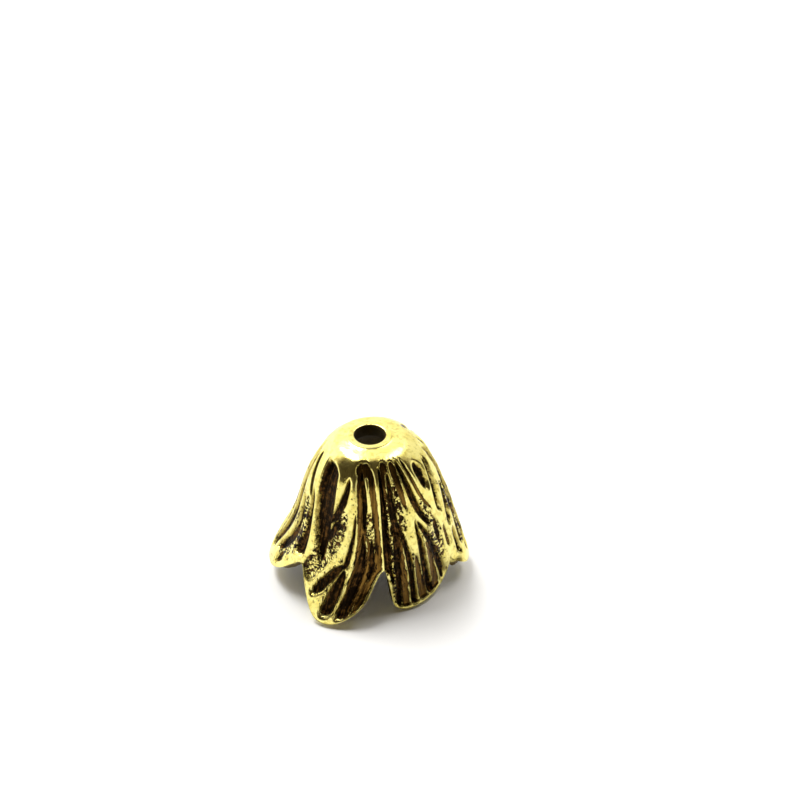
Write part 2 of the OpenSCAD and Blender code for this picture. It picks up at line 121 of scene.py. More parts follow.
# Veins: set, station of the top and of the lower end, place across the petal at the
# top, half way and at the lower end, half width at the same three places, and depth,
# where the shallowest are stretches of broken ground and the deepest are black. The wide
# shallow brown veins that start at stations 0.09 and 0.10, just under the crown, are partly
# tarnish and partly painted reflection: they darken the band under the dome's highlight.
VEINS = np.array([
    (0, 0.15, 0.74, -0.76, -0.62, -0.44, 0.35, 0.30, 0.05, 0.55),
    (0, 0.19, 0.50, 0.03, -0.06, -0.42, 0.04, 0.10, 0.15, 0.42),
    (0, 0.42, 0.62, -0.02, -0.24, -0.46, 0.03, 0.12, 0.13, 0.40),
    (0, 0.36, 0.80, 0.02, -0.17, -0.66, 0.06, 0.20, 0.18, 0.12),
    (0, 0.56, 0.86, -0.38, -0.60, -0.84, 0.05, 0.19, 0.18, 0.12),
    (0, 0.38, 0.74, 0.35, 0.33, 0.27, 0.02, 0.05, 0.07, 0.34),
    (0, 0.68, 0.92, 0.28, -0.12, -0.62, 0.06, 0.19, 0.17, 0.42),
    (0, 0.71, 1.01, 0.30, 0.21, 0.02, 0.05, 0.17, 0.24, 0.50),
    (0, 0.11, 1.01, 0.33, 0.56, 0.62, 0.12, 0.13, 0.20, 0.24),
    (0, 0.09, 0.21, 0.48, 0.46, 0.44, 0.36, 0.34, 0.26, 0.17),
    (0, 0.13, 0.50, 0.36, 0.55, 0.58, 0.06, 0.07, 0.03, 0.50),
    (0, 0.48, 1.01, 0.54, 0.62, 0.54, 0.02, 0.09, 0.17, 0.50),
    (0, 0.34, 0.58, 0.66, 0.73, 0.78, 0.03, 0.09, 0.06, 0.12),
    (0, 0.52, 0.80, 0.77, 0.81, 0.83, 0.02, 0.05, 0.04, 0.46),
    (0, 0.50, 0.94, 0.69, 0.77, 0.80, 0.03, 0.05, 0.07, 0.22),
    (0, 0.12, 0.98, 0.70, 0.91, 0.83, 0.15, 0.08, 0.09, 0.20),
    (1, 0.12, 0.84, -0.93, -0.90, -0.90, 0.12, 0.13, 0.05, 0.52),
    (1, 0.09, 0.19, -0.52, -0.56, -0.60, 0.34, 0.32, 0.24, 0.17),
    (1, 0.13, 0.38, -0.66, -0.74, -0.79, 0.14, 0.10, 0.04, 0.22),
    (1, 0.15, 0.48, -0.40, -0.53, -0.52, 0.06, 0.13, 0.12, 0.46),
    (1, 0.42, 0.55, -0.52, -0.51, -0.50, 0.10, 0.21, 0.12, 0.52),
    (1, 0.48, 1.01, -0.54, -0.68, -0.84, 0.10, 0.09, 0.06, 0.50),
    (1, 0.50, 1.01, -0.46, -0.55, -0.63, 0.04, 0.09, 0.13, 0.20),
    (1, 0.48, 1.01, -0.38, -0.34, -0.35, 0.07, 0.08, 0.11, 0.50),
    (1, 0.24, 0.98, -0.74, -0.72, -0.88, 0.06, 0.12, 0.05, 0.12),
    (1, 0.18, 0.52, -0.22, -0.30, -0.26, 0.04, 0.10, 0.08, 0.12),
    (1, 0.10, 0.40, 0.08, -0.01, -0.01, 0.30, 0.19, 0.05, 0.18),
    (1, 0.10, 0.56, 0.52, 0.41, 0.74, 0.10, 0.14, 0.05, 0.48),
    (1, 0.50, 0.70, 0.90, 0.84, 0.80, 0.05, 0.12, 0.04, 0.32),
    (1, 0.34, 0.82, 0.66, 0.72, 0.70, 0.05, 0.16, 0.10, 0.12),
    (1, 0.11, 0.47, 0.94, 0.76, 1.03, 0.13, 0.10, 0.05, 0.20),
    (1, 0.44, 1.01, 0.24, 0.10, 0.36, 0.02, 0.10, 0.13, 0.50),
    (1, 0.46, 0.96, 0.26, 0.53, 0.80, 0.03, 0.11, 0.07, 0.44),
    (1, 0.60, 1.01, 0.28, 0.40, 0.55, 0.04, 0.11, 0.14, 0.22),
    (1, 0.66, 1.01, -0.14, -0.10, 0.03, 0.03, 0.13, 0.18, 0.22),
    (2, 0.16, 0.35, -0.68, -0.77, -0.83, 0.15, 0.16, 0.08, 0.50),
    (2, 0.17, 0.52, -0.16, -0.57, -0.80, 0.04, 0.08, 0.05, 0.46),
    (2, 0.36, 0.66, -0.20, -0.45, -0.68, 0.03, 0.08, 0.04, 0.42),
    (2, 0.58, 0.80, -0.86, -0.90, -0.90, 0.03, 0.07, 0.04, 0.30),
    (2, 0.66, 0.92, -0.57, -0.60, -0.63, 0.02, 0.07, 0.05, 0.40),
    (2, 0.30, 0.88, 0.04, -0.24, -0.38, 0.04, 0.08, 0.06, 0.38),
    (2, 0.34, 0.90, -0.28, -0.26, -0.30, 0.04, 0.12, 0.14, 0.12),
    (2, 0.20, 0.97, 0.16, -0.04, -0.08, 0.04, 0.07, 0.09, 0.40),
    (2, 0.16, 0.62, 0.32, 0.22, 0.05, 0.08, 0.09, 0.03, 0.42),
    (2, 0.46, 0.99, 0.24, 0.16, 0.24, 0.02, 0.07, 0.10, 0.22),
    (2, 0.18, 0.97, 0.50, 0.38, 0.48, 0.05, 0.06, 0.11, 0.46),
    (2, 0.14, 0.52, 0.74, 0.62, 0.84, 0.10, 0.08, 0.03, 0.22),
    (2, 0.26, 0.86, 0.93, 0.74, 0.78, 0.04, 0.09, 0.08, 0.44),
    (3, 0.17, 0.42, 0.32, 0.54, 0.78, 0.05, 0.06, 0.02, 0.36),
    (3, 0.34, 0.78, 0.79, 0.91, 0.82, 0.02, 0.11, 0.10, 0.50),
    (3, 0.42, 0.90, 0.44, 0.54, 0.36, 0.02, 0.10, 0.12, 0.42),
    (3, 0.40, 0.92, 0.66, 0.72, 0.56, 0.03, 0.08, 0.08, 0.12),
    (3, 0.20, 0.96, 0.05, 0.14, -0.12, 0.04, 0.12, 0.14, 0.40),
    (3, 0.16, 0.70, -0.16, -0.14, -0.30, 0.05, 0.06, 0.03, 0.40),
    (3, 0.52, 0.99, -0.08, -0.22, -0.34, 0.02, 0.06, 0.08, 0.20),
    (3, 0.20, 0.96, -0.36, -0.48, -0.54, 0.05, 0.05, 0.06, 0.34),
    (3, 0.14, 0.48, -0.58, -0.62, -0.74, 0.10, 0.07, 0.02, 0.22),
    (3, 0.22, 0.86, -0.88, -0.76, -0.82, 0.05, 0.06, 0.05, 0.38),
    (3, 0.84, 0.96, 0.60, 0.66, 0.72, 0.06, 0.11, 0.08, 0.30),
])

# Stations where the seams set out for their notches, where the tips' own widths take
# over, and where the parts of a petal's own form begin or lie. The last two are how
# quickly a petal's sides leave the seams below a notch, and how far apart the places lie
# that give the slope of the outside.
SEAM_FROM = 0.1
TIP_FROM = 0.45
WIDE_FROM = 0.6
FLARE_FROM = 0.55
RISE_FROM = 0.6
BELLY_FROM = 0.08
SHOULDER_AT = 0.2
SHOULDER_SPAN = 0.14
FOLD_FROM = 0.12
FOLD_FULL = 0.6
NOTCH_SHARPNESS = 0.6
SLOPE_STEP = 0.03


def mix(a, b, t):
    return a + (b - a) * t


def ramp(a, b, x):
    t = np.clip((x - a) / (b - a), 0, 1)
    return t * t * (3 - 2 * t)


def along(s, column):
    """Smooth curve through the outline's rows."""
    x, y = OUTLINE[:, 0], OUTLINE[:, column]
    last = len(x) - 1
    k = np.clip(np.searchsorted(x, s, side="right") - 1, 0, last - 1)
    h = x[k + 1] - x[k]
    t = (s - x[k]) / h

    def slope(n):
        a, b = np.maximum(n - 1, 0), np.minimum(n + 1, last)
        return (y[b] - y[a]) / (x[b] - x[a])

    return (y[k] * (2 * t**3 - 3 * t**2 + 1) + y[k + 1] * (3 * t**2 - 2 * t**3)
            + h * slope(k) * (t**3 - 2 * t**2 + t) + h * slope(k + 1) * (t**3 - t**2))


def reach(s):
    """Radius of the outline at a station."""
    return RING_R + (MOUTH_R - RING_R) * along(s, 1)


def near(angle, to):
    return angle - 360 * np.round((angle - to) / 360)


def seam_bearing(n, s):
    seam = SEAMS[n % PETALS]
    t = np.clip((s - SEAM_FROM) / (seam["station"] - SEAM_FROM), 0, 1.6)
    c = np.minimum(t, 1)
    return mix(seam["crown"], seam["notch"], t) + seam["bow"] * 4 * c * (1 - c)


def free(i, u, s):
    """How far below the notch at that side of petal i, 0 at the notch and 1 at the tip."""
    station = np.where(u < 0, SEAMS[(i - 1) % PETALS]["station"], SEAMS[i]["station"])
    return np.clip((s - station) / (1 - station), 0, 1)


def bearing(i, u, s):
    """Bearing of the place u across petal i, from -1 at its left edge to 1, at station s."""
    p = SHAPES[i]
    w = u + (1 - u * u) * mix(p["lean_top"], p["lean_tip"], s)
    left = near(seam_bearing(i - 1, s), p["bearing"])
    right = near(seam_bearing(i, s), p["bearing"])
    r = reach(s) + p["flare"] * ramp(WIDE_FROM, 1, s)
    tip = p["bearing"] + w * np.degrees(p["half"] / r)
    share = mix(ramp(TIP_FROM, 1, s), free(i, u, s) ** NOTCH_SHARPNESS, u * u)
    return mix(mix(left, right, (w + 1) / 2), tip, share)


def rim_station(i, u):
    p = SHAPES[i]
    bow = (1 - np.abs(u) ** p["square"]) ** (1 / p["square"])
    return 1 - p["round"] * (1 - bow) - p["slant"] * (u + 1) / 2


def notch_station(i, u):
    return mix(SEAMS[(i - 1) % PETALS]["station"], SEAMS[i]["station"], (u + 1) / 2)


def own(i, s):
    """What petal i adds to the outline: radius and height."""
    p = SHAPES[i]
    belly = p["swell"] * np.sin(np.pi * np.clip((s - BELLY_FROM) / (1 - BELLY_FROM), 0, 1))
    hump = np.exp(-(((s - SHOULDER_AT) / SHOULDER_SPAN) ** 2)) * ramp(0, 0.1, s)
    wider = belly + p["shoulder"] * hump + p["flare"] * ramp(FLARE_FROM, 1, s)
    return np.stack([wider, p["rise"] * ramp(RISE_FROM, 1, s)], -1)


def skin(i, u, s):
    """Radius and height of the outside before the veins are carved."""
    side = (u < 0)[..., None]
    other = np.where(side, own((i - 1) % PETALS, s), own((i + 1) % PETALS, s))
    fold = np.where(u < 0, SEAMS[(i - 1) % PETALS]["fold"], SEAMS[i]["fold"])
    fold = fold * ramp(FOLD_FROM, FOLD_FULL, s)
    edge = mix((own(i, s) + other) / 2, own(i, s), ramp(0, 1, free(i, u, s))[..., None])
    edge = edge - np.stack([fold, 0 * fold], -1)
    base = np.stack([reach(s), CAP_H * along(s, 2)], -1)
    return base + mix(own(i, s), edge, (u * u)[..., None])


def way_out(i, u, s):
    """Way out of the metal in the plane through the bore, straight up at the crown."""
    a, b = skin(i, u, np.maximum(s - SLOPE_STEP, 0)), skin(i, u, s + SLOPE_STEP)
    n = np.stack([(a[..., 1] - b[..., 1]) * ramp(0, 0.12, s), b[..., 0] - a[..., 0]], -1)
    return n / np.linalg.norm(n, axis=-1, keepdims=True)


def turned(i, u, s, pair):
    """A radius and a height on petal i as a point or a direction in space."""
    b = np.radians(bearing(i, u, s))
    return np.stack([pair[..., 0] * np.sin(b), -pair[..., 0] * np.cos(b), pair[..., 1]], -1)


def laid(i, u, s, depth):
    """The point of petal i that lies that deep under its outside."""
    return turned(i, u, s, skin(i, u, s) - way_out(i, u, s) * np.asarray(depth)[..., None])


# The blank: rows of points down each petal, close together at the ring's step. The rows
# of the hood are joined from petal to petal, and those of the lobe hang free.
COLS = 92
HOOD = 88
LOBE = 36
STEP = np.array([0.0, 0.004, 0.008, 0.012, 0.016, 0.021, 0.028])
HOOD_SHARE = np.concatenate([STEP, np.linspace(0.037, 1, HOOD + 1 - len(STEP))])
ROWS = HOOD + LOBE
THIN_AT = 0.35
UNCARVED_RIM = 0.2
UNCARVED_SIDE = 0.95
points, facts, quads = [], [], []


def add(place, out, across, down, petal, room, inside):
    """Adds points with what the carving and the finish need to know about each."""
    place, out = place.reshape(-1, 3), out.reshape(-1, 3)
    n = len(place)
    rest = [np.broadcast_to(v, n) if np.ndim(v) == 0 else np.ravel(v)
            for v in (across, down, petal, room, inside)]
    start = sum(len(p) for p in points)
    points.append(place)
    facts.append(np.column_stack([out] + rest))
    return start + np.arange(n)


def strip(a, b):
    """Quads between two rows of points, b below a as seen from outside."""
    quads.extend(zip(a[:-1], b[:-1], b[1:], a[1:]))


def stitch(a, b):
    """Triangles from a row to one with half as many steps."""
    for n in range(len(b) - 1):
        quads.append((a[2 * n], b[n], a[2 * n + 1]))
        quads.append((a[2 * n + 1], b[n], b[n + 1]))
        quads.append((a[2 * n + 1], b[n + 1], a[2 * n + 2]))


def stations(i, u, k):
    share = HOOD_SHARE[np.minimum(k, HOOD)]
    low = np.clip((k - HOOD) / LOBE, 0, 1)
    return mix(notch_station(i, u) * share, rim_station(i, u), low)


def petal_grid(step, inside):
    """Point numbers of one side of the wall, for each petal a table of rows and columns."""
    n, hood, rows = COLS // step, HOOD // step, ROWS // step
    tables = [np.zeros((rows + 1, n + 1), int) for _ in range(PETALS)]
    for i in range(PETALS):
        u, k = np.meshgrid(np.linspace(-1, 1, n + 1), np.arange(rows + 1) * step)
        s = stations(i, u, k)
        wall = np.where(k == 0, CROWN_WALL, mix(CROWN_WALL, PETAL_WALL, ramp(0, THIN_AT, s)))
        place = laid(i, u, s, inside * wall)
        out = turned(i, u, s, way_out(i, u, s)) * (1 - 2 * inside)
        room = (1 - inside) * ramp(UNCARVED_RIM, 1, (rim_station(i, u) - s) / RIM_BAND)
        room = room * (1 - ramp(UNCARVED_SIDE, 1, np.abs(u)))
        own_rows = np.ones(k.shape, bool)
        own_rows[: hood + 1, n] = False
        tables[i][own_rows] = add(
            place[own_rows], out[own_rows], u[own_rows] * SHAPES[i]["side"], s[own_rows],
            i, room[own_rows], inside)
    for i in range(PETALS):
        tables[i][: hood + 1, n] = tables[(i + 1) % PETALS][: hood + 1, 0]
        for k in range(rows):
            strip(*(tables[i][[k, k + 1]] if not inside else tables[i][[k + 1, k]]))
    return tables


outside = petal_grid(1, 0)
lining = petal_grid(2, 1)


def round_rim(table, hood):
    """Point numbers round the free edge of a petal, from notch over tip to notch."""
    return np.concatenate([table[hood:, 0], table[-1, 1:], table[hood:-1, -1][::-1]])


# The rim of each petal is rolled over from the outside to the lining in an even curve,
# which starts flat at the notches and has its full swell a few points further on
RIM_STEPS = 4
SWELL_POINTS = 8
notches = {}
for i in range(PETALS):
    edge = round_rim(outside[i], HOOD)
    lined = round_rim(lining[i], HOOD // 2)
    outer = np.concatenate(points)[edge]
    u = np.concatenate([np.full(LOBE + 1, -1.0), np.linspace(-1, 1, COLS + 1)[1:],
                        np.full(LOBE, 1.0)])
    k = np.concatenate([np.arange(HOOD, ROWS + 1), np.full(COLS, ROWS),
                        np.arange(HOOD, ROWS)[::-1]])
    s = stations(i, u, k)
    inner = laid(i, u, s, np.full(len(s), PETAL_WALL))
    away = np.cross(outer - inner, np.gradient(outer, axis=0))
    away /= np.linalg.norm(away, axis=1)[:, None]
    from_notch = np.minimum(np.arange(len(s)), np.arange(len(s))[::-1])
    grow = ramp(0, SWELL_POINTS, from_notch)[:, None]
    above = edge
    for n in range(1, RIM_STEPS):
        turn = math.pi * n / RIM_STEPS
        place = ((outer + inner) / 2 + math.cos(turn) * (outer - inner) / 2
                 + math.sin(turn) * away * PETAL_WALL * RIM_SWELL * grow)
        share = n / RIM_STEPS
        row = np.empty(len(s), int)
        row[1:-1] = add(place[1:-1], away[1:-1], u[1:-1], s[1:-1], i, 0, share)
        for end, seam in ((0, (i - 1) % PETALS), (-1, i)):
            if (seam, n) not in notches:
                notches[seam, n] = add(place[end], away[end], u[end], s[end], i, 0, share)[0]
            row[end] = notches[seam, n]
        strip(above, row)
        above = row
    stitch(above, lined)

# The bore, by radius and height: the flat ring, a soft edge, the wall of the hole and its
# lower edge
BORE_EDGE = [
    (RING_R - 0.05, CAP_H),
    (BORE_R + 0.16, CAP_H),
    (BORE_R + 0.09, CAP_H - 0.015),
    (BORE_R + 0.03, CAP_H - 0.06),
    (BORE_R, CAP_H - 0.16),
    (BORE_R, CAP_H - CROWN_WALL + 0.1),
    (BORE_R + 0.08, CAP_H - CROWN_WALL),
]
crown = np.concatenate([table[0, :-1] for table in outside])
ceiling = np.concatenate([table[0, :-1] for table in lining])
crown_at = np.concatenate(points)[crown]
round_bearing = np.arctan2(crown_at[:, 0], -crown_at[:, 1])
around = np.stack([np.sin(round_bearing), -np.cos(round_bearing), 0 * round_bearing], -1)
above = np.append(crown, crown[0])
for n, (r, z) in enumerate(BORE_EDGE):
    place = around * r + [0, 0, z]
    row = add(place, around * -1, 0, 0, 0, 0, min(1, max(0, n - 1) / 2))
    row = np.append(row, row[0])
    strip(row, above)
    above = row
# The lower edge meets the lining, which has half as many points
below = np.append(ceiling, ceiling[0])
for n in range(len(below) - 1):
    quads.append((above[2 * n], above[2 * n + 1], below[n]))
    quads.append((above[2 * n + 1], below[n + 1], below[n]))
    quads.append((above[2 * n + 1], above[2 * n + 2], below[n + 1]))


def keep_with(mesh, name, kind, values):
    """Keeps a number or a direction for each point of a mesh under a name."""
    layer = mesh.attributes.new(name, kind, "POINT")
    part = "value" if kind == "FLOAT" else "vector"
    layer.data.foreach_set(part, np.ascontiguousarray(values, np.float32).ravel())


known = np.concatenate(facts)
blank_mesh = bpy.data.meshes.new("cap_blank")
blank_mesh.from_pydata((np.concatenate(points) * MM).tolist(), [],
                       [tuple(int(v) for v in q) for q in quads])
keep_with(blank_mesh, "outward", "FLOAT_VECTOR", known[:, :3])
sets = np.array([SHAPES[int(i)]["set"] for i in known[:, 5]])
for name, values in (("across", known[:, 3]), ("down", known[:, 4]), ("vein_set", sets),
                     ("petal", known[:, 5]), ("room", known[:, 6]), ("lining", known[:, 7])):
    keep_with(blank_mesh, name, "FLOAT", values)
blank = bpy.data.objects.new("cap_blank", blank_mesh)
bpy.context.collection.objects.link(blank)

# The chart of the veins is a row of bare points, one for each vein
chart_mesh = bpy.data.meshes.new("vein_chart")
chart_mesh.from_pydata([(n * MM, 0, 0) for n in range(len(VEINS))], [], [])
for name, columns in (("reach", (1, 2, 9)), ("path", (3, 4, 5)), ("width", (6, 7, 8)),
                      ("kind", (0, 0, 0))):
    keep_with(chart_mesh, name, "FLOAT_VECTOR", VEINS[:, columns])
chart = bpy.data.objects.new("vein_chart", chart_mesh)
bpy.context.collection.objects.link(chart)

# The carving: each vein of the chart is scooped out of the blank in turn. A vein is a
# channel with rounded ends and a softer shoulder on each side. The deeper ones are
# stained brown, the deepest black, and the shallowest are left as broken ground.
CHANNEL_SHARE = 0.66
TOP_FADE = 0.035
LOW_FADE = 0.045
ROUND_END = 0.055
LEAST_ROUND = 0.02
BROWN_FROM = (0.13, 0.17)
BLACK_FROM = (0.24, 0.36)
STAIN_SPILL = 2.2
STAINS_AND_SHADE_MASKS = ("brown", "brown_bowl_shade", "black", "near_black", "rough")

carving = bpy.data.node_groups.new("carve_veins", "GeometryNodeTree")
carving.interface.new_socket("Blank", in_out="INPUT", socket_type="NodeSocketGeometry")
for name, kind, value in (
    ("Chart", "NodeSocketObject", None), ("Depth", "NodeSocketFloat", MM),
    ("Shoulder Reach", "NodeSocketFloat", 0.12),
    ("Ragged Edge", "NodeSocketFloat", 0.05), ("Ragged Scale", "NodeSocketFloat", 1600.0),
    ("Hand Waver", "NodeSocketFloat", 0.06 * MM), ("Waver Scale", "NodeSocketFloat", 420.0),
    ("Lining Grain", "NodeSocketFloat", 0.14 * MM), ("Grain Scale", "NodeSocketFloat", 1500.0),
    ("Seed", "NodeSocketFloat", 4.0), ("Finish", "NodeSocketMaterial", None),
):
    socket = carving.interface.new_socket(name, in_out="INPUT", socket_type=kind)
    if value is not None:
        socket.default_value = value
carving.interface.new_socket("Cap", in_out="OUTPUT", socket_type="NodeSocketGeometry")
carve_in = carving.nodes.new("NodeGroupInput").outputs
carve_out = carving.nodes.new("NodeGroupOutput").inputs


def worked_out(tree, operation, a, b=None, c=None):
    """One step of arithmetic in a tree of nodes."""
    node = tree.nodes.new("ShaderNodeMath")
    node.operation = operation
    for slot, value in zip(node.inputs, (a, b, c)):
        if isinstance(value, (int, float)):
            slot.default_value = value
        elif value is not None:
            tree.links.new(value, slot)
    return node.outputs[0]


def eased(tree, low, high, value, start=0.0, end=1.0):
    """A soft change from start to end while a value goes from low to high."""
    node = tree.nodes.new("ShaderNodeMapRange")
    node.interpolation_type = "SMOOTHSTEP"
    for name, number in (("From Min", low), ("From Max", high), ("To Min", start), ("To Max", end)):
        node.inputs[name].default_value = number
    tree.links.new(value, node.inputs["Value"])
    return node.outputs["Result"]


carve = functools.partial(worked_out, carving)
carve_step = functools.partial(eased, carving)


def field(name, kind="FLOAT"):
    node = carving.nodes.new("GeometryNodeInputNamedAttribute")
    node.data_type = kind
    node.inputs["Name"].default_value = name
    return node.outputs["Attribute"]


def unevenness(scale, detail):
    node = carving.nodes.new("ShaderNodeTexNoise")
    node.noise_dimensions = "4D"
    node.inputs["Detail"].default_value = detail
    position = carving.nodes.new("GeometryNodeInputPosition").outputs[0]
    carving.links.new(position, node.inputs["Vector"])
    carving.links.new(scale, node.inputs["Scale"])
    carving.links.new(carve_in["Seed"], node.inputs["W"])
    return carve("SUBTRACT", node.outputs[0], 0.5)


def moved(geometry, distance):
    """Moves the points along their way out."""
    scale = carving.nodes.new("ShaderNodeVectorMath")
    scale.operation = "SCALE"
    carving.links.new(field("outward", "FLOAT_VECTOR"), scale.inputs[0])
    carving.links.new(distance, scale.inputs["Scale"])
    node = carving.nodes.new("GeometryNodeSetPosition")
    carving.links.new(geometry, node.inputs["Geometry"])
    carving.links.new(scale.outputs[0], node.inputs["Offset"])
    return node.outputs[0]


def noted(geometry, name, value):
    """Keeps a value with the points under a name."""
    node = carving.nodes.new("GeometryNodeStoreNamedAttribute")
    node.data_type = "FLOAT"
    node.inputs["Name"].default_value = name
    carving.links.new(geometry, node.inputs["Geometry"])
    if isinstance(value, (int, float)):
        node.inputs["Value"].default_value = value
    else:
        carving.links.new(value, node.inputs["Value"])
    return node.outputs[0]


chart_info = carving.nodes.new("GeometryNodeObjectInfo")
carving.links.new(carve_in["Chart"], chart_info.inputs["Object"])
count = carving.nodes.new("GeometryNodeAttributeDomainSize")
carving.links.new(chart_info.outputs["Geometry"], count.inputs["Geometry"])
ragged = carve("MULTIPLY", unevenness(carve_in["Ragged Scale"], 3.0), carve_in["Ragged Edge"])
across = carve("ADD", field("across"), carve("MULTIPLY", ragged, 2.0))
blank_start = noted(carve_in["Blank"], "across_ragged", across)
for name in ("recess",) + STAINS_AND_SHADE_MASKS:
    blank_start = noted(blank_start, name, 0.0)

turn_start = carving.nodes.new("GeometryNodeRepeatInput")
turn_end = carving.nodes.new("GeometryNodeRepeatOutput")
turn_start.pair_with_output(turn_end)
carving.links.new(count.outputs["Point Count"], turn_start.inputs["Iterations"])
carving.links.new(blank_start, turn_start.inputs["Geometry"])


def vein_fact(name):
    """Three columns of the chart for the vein whose turn it is."""
    node = carving.nodes.new("GeometryNodeSampleIndex")
    node.data_type = "FLOAT_VECTOR"
    node.domain = "POINT"
    carving.links.new(chart_info.outputs["Geometry"], node.inputs["Geometry"])
    carving.links.new(field(name, "FLOAT_VECTOR"), node.inputs["Value"])
    carving.links.new(turn_start.outputs["Iteration"], node.inputs["Index"])
    split = carving.nodes.new("ShaderNodeSeparateXYZ")
    carving.links.new(node.outputs[0], split.inputs[0])
    return split.outputs


s_top, s_end, depth = vein_fact("reach")
u_top, u_mid, u_end = vein_fact("path")
w_top, w_mid, w_end = vein_fact("width")
vein_set = vein_fact("kind")[0]
from_top = carve("SUBTRACT", field("down"), s_top)
to_end = carve("SUBTRACT", s_end, field("down"))
t = carve("DIVIDE", from_top, carve("SUBTRACT", s_end, s_top))
rest = carve("SUBTRACT", 1.0, t)
double = carve("MULTIPLY", t, 2.0)
top_share = carve("MULTIPLY", rest, carve("SUBTRACT", 1.0, double))
middle_share = carve("MULTIPLY", carve("MULTIPLY", double, 2.0), rest)
end_share = carve("MULTIPLY", t, carve("SUBTRACT", double, 1.0))


def through(top, halfway, end):
    """Smooth curve through three values along the vein."""
    part = carve("ADD", carve("MULTIPLY", top, top_share),
                 carve("MULTIPLY", halfway, middle_share))
    return carve("ADD", part, carve("MULTIPLY", end, end_share))


def one_less(value):
    """One less the value, and nothing where that would be below nothing."""
    return carve("MAXIMUM", carve("SUBTRACT", 1.0, value), 0.0)


# How wide the vein is here, and how far off its middle this place lies
middle = through(u_top, u_mid, u_end)
half = through(w_top, w_mid, w_end)
ends = carve("MULTIPLY", carve_step(0, TOP_FADE, from_top), carve_step(0, LOW_FADE, to_end))
round_top = carve("MINIMUM", carve("DIVIDE", from_top, ROUND_END), 1.0)
round_end = carve("MINIMUM", carve("DIVIDE", to_end, ROUND_END), 1.0)
rounded = carve("MAXIMUM", carve("MULTIPLY", round_top, round_end), LEAST_ROUND)
half = carve("MULTIPLY", half, carve("SQRT", rounded))
off_middle = carve("ABSOLUTE", carve("SUBTRACT", field("across"), middle))
off_ragged = carve("ABSOLUTE", carve("SUBTRACT", field("across_ragged"), middle))

# The cross section: a flat-bottomed channel with ragged edges, and its shoulders
x = carve("DIVIDE", off_ragged, half)
x_squared = carve("MULTIPLY", x, x)
hollow = one_less(x_squared)
channel = one_less(carve("MULTIPLY", x_squared, x_squared))
past_edge = carve("MAXIMUM", carve("SUBTRACT", off_middle, half), 0.0)
shoulder = one_less(carve("DIVIDE", past_edge, carve_in["Shoulder Reach"]))
body = carve("ADD", carve("MULTIPLY", channel, CHANNEL_SHARE),
             carve("MULTIPLY", carve("MULTIPLY", shoulder, shoulder), 1 - CHANNEL_SHARE))
same_set = carve("COMPARE", field("vein_set"), vein_set, 0.1)
here_only = carve("MULTIPLY", ends, same_set)
beside = carve("MULTIPLY", shoulder, here_only)
touched = carve("MULTIPLY", channel, here_only)
brown_depth = carve_step(*BROWN_FROM, depth)
black_depth = carve_step(*BLACK_FROM, depth)
carved = turn_start.outputs["Geometry"]
for name, value in (
    ("recess", carve("MULTIPLY", carve("MULTIPLY", depth, body), here_only)),
    ("brown", carve("MULTIPLY", touched, brown_depth)),
    # The next mask is highest in the middle of a brown vein and falls off toward its edges. The
    # finish uses it to paint the brown darker toward the edges, as painted shade of a hollow
    # channel.
    ("brown_bowl_shade", carve("MULTIPLY", carve("MULTIPLY", hollow, here_only), brown_depth)),
    ("black", carve("MULTIPLY", touched, black_depth)),
    ("near_black", carve("MULTIPLY", beside, black_depth)),
    ("rough", carve("MULTIPLY", beside, carve("SUBTRACT", 1.0, brown_depth))),
):
    carved = noted(carved, name, carve("MAXIMUM", field(name), value))
carving.links.new(carved, turn_end.inputs["Geometry"])

# The black and the brown, and the masks that paint shade, run on a little past the cut, toward the
# rim
stain_and_shade_room = carve("MINIMUM", carve("MULTIPLY", field("room"), STAIN_SPILL), 1.0)
kept = turn_end.outputs["Geometry"]
kept = noted(kept, "recess", carve("MULTIPLY", field("recess"), field("room")))
for name in STAINS_AND_SHADE_MASKS:
    kept = noted(kept, name, carve("MULTIPLY", field(name), stain_and_shade_room))

# The cut itself, the waver of a hand-made outside, and the grain of the cast lining
cut = carve("MULTIPLY", field("recess"), carve("MULTIPLY", carve_in["Depth"], -1.0))
outer_share = carve("MULTIPLY", carve("SUBTRACT", 1.0, field("lining")),
                    carve_step(0.10, 0.2, field("down")))
waver = carve("MULTIPLY", unevenness(carve_in["Waver Scale"], 1.0), carve_in["Hand Waver"])
waver = carve("MULTIPLY", waver, carve("MULTIPLY", outer_share, field("room")))
inner_share = carve("MULTIPLY", carve_step(0.9, 1.0, field("lining")),
                    carve_step(0.02, 0.1, field("down")))
cast_grain = carve("MULTIPLY", unevenness(carve_in["Grain Scale"], 3.0), carve_in["Lining Grain"])
cast_grain = carve("MULTIPLY", cast_grain, inner_share)
shaped = moved(kept, carve("ADD", cut, carve("ADD", waver, cast_grain)))
smooth = carving.nodes.new("GeometryNodeSetShadeSmooth")
carving.links.new(shaped, smooth.inputs["Geometry"])
realized = carving.nodes.new("GeometryNodeRealizeInstances")
carving.links.new(smooth.outputs[0], realized.inputs[0])
finished = carving.nodes.new("GeometryNodeSetMaterial")
carving.links.new(realized.outputs[0], finished.inputs["Geometry"])
carving.links.new(carve_in["Finish"], finished.inputs["Material"])
carving.links.new(finished.outputs[0], carve_out["Cap"])

